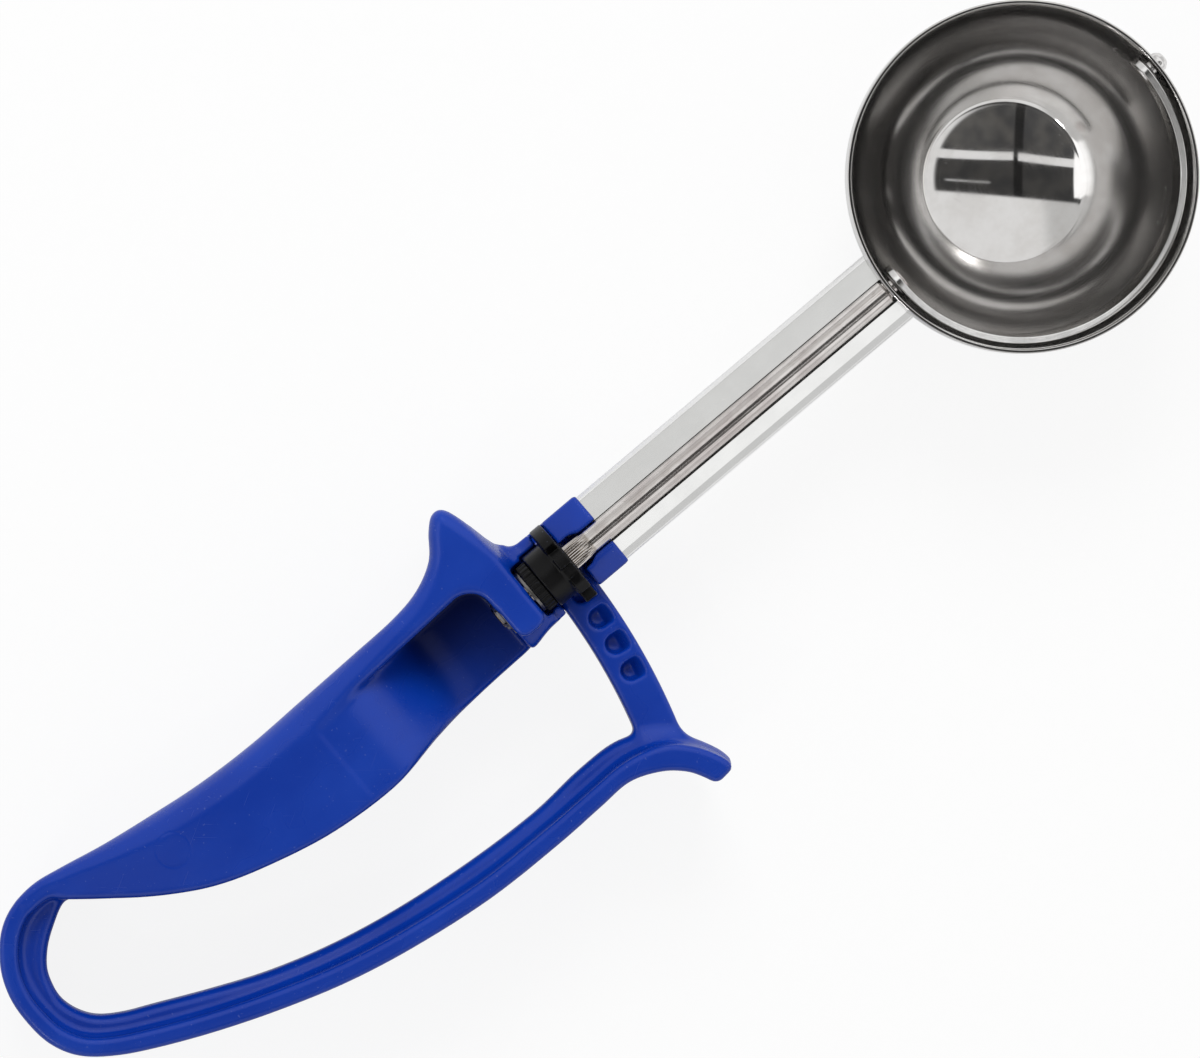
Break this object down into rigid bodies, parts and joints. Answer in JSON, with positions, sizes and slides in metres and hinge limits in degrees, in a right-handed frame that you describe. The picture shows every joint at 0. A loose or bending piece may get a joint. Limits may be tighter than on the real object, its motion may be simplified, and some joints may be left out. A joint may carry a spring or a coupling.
{
  "type": "lever ice cream scoop",
  "caption": "Ice cream scoop with a squeeze lever on a sprung loop, whose rack arm turns a pinion, rod and scraper blade in a round bowl.",
  "frame": {"origin": "on the flat underside of the grip's front block, directly below the middle of the pinion", "axes": "+X along the drive rod towards the bowl, +Z out of the bowl's open mouth, -Y towards the squeeze lever"},
  "size_m": [0.2405, 0.0719, 0.0351],
  "materials": {
    "blue_plastic": "moulded royal blue, glossy",
    "black_plastic": "moulded black",
    "satin_steel": "drawn and stamped stainless steel",
    "polished_steel": "mirror-polished stainless steel"
  },
  "bodies": {
    "handle": {"handle_body": "blue_plastic", "spring_loop": "blue_plastic", "shank_channel": "satin_steel", "bowl": "polished_steel", "far_rivet": "satin_steel"},
    "lever": {"squeeze_lever": "blue_plastic"},
    "rotor": {"drive_rod": "satin_steel", "pinion_gear": "black_plastic", "gear_collar": "black_plastic", "thrust_washer": "satin_steel", "push_nut": "satin_steel", "scraper_blade": "polished_steel", "blade_spacers": "satin_steel"}
  },
  "joints": [
    {"name": "lever_squeeze", "type": "hinge", "parent": "handle", "child": "lever", "pos_m": [-0.1052, 0, 0.013], "axis": [0, 0, 1], "range_deg": [0, 10.28], "stiffness_Nm_per_rad": 8, "springref_deg": -0.57, "deforming": ["spring_loop"]},
    {"name": "rotor_spin", "type": "hinge", "parent": "handle", "child": "rotor", "pos_m": [0, 0, 0.0215], "axis": [1, 0, 0], "range_deg": [0, 170]}
  ],
  "couplings": [
    {"joint": "rotor_spin", "follows": "lever_squeeze", "ratio": 16.438}
  ]
}
